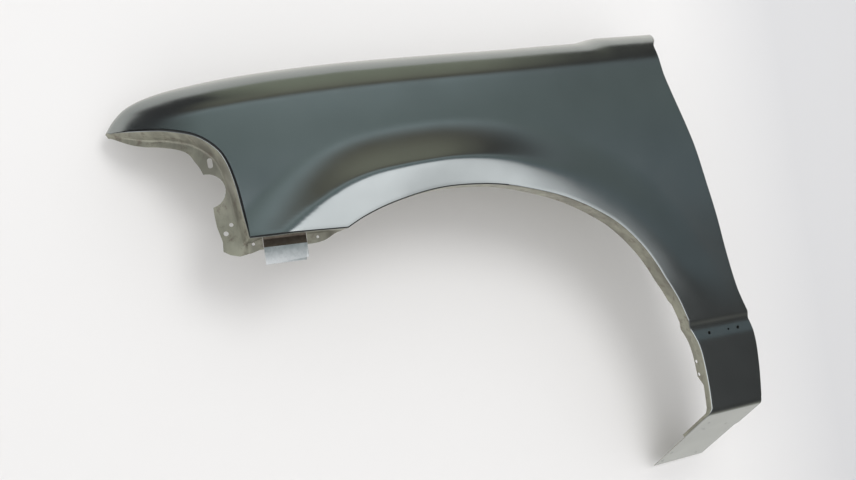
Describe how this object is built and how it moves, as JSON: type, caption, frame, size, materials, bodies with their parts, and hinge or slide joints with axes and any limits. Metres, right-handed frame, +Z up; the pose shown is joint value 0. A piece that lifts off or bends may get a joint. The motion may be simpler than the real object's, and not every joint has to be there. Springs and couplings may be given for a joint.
{
  "type": "front fender panel",
  "caption": "Left front fender of a sport utility vehicle in dark primer: flared wheel arch, headlamp flange, stepped leg, foot plate and a welded bumper tab.",
  "frame": {"origin": "on the underside of the level part of the rail flange, 160 mm behind the wheel centre and 634 mm above it", "axes": "+X to the rear of the vehicle, +Y from the outer skin towards the middle of the vehicle, +Z up"},
  "size_m": [1.0603, 0.2128, 0.8248],
  "materials": {
    "primer": "dark grey satin primer",
    "zinc": "bluish grey coated steel",
    "phosphate": "black phosphated steel"
  },
  "bodies": {
    "root": {"fender_panel": "primer", "front_lower_bracket": "zinc", "leg_nut_front": "phosphate", "leg_nut_middle": "phosphate", "leg_nut_rear": "phosphate"}
  },
  "joints": []
}
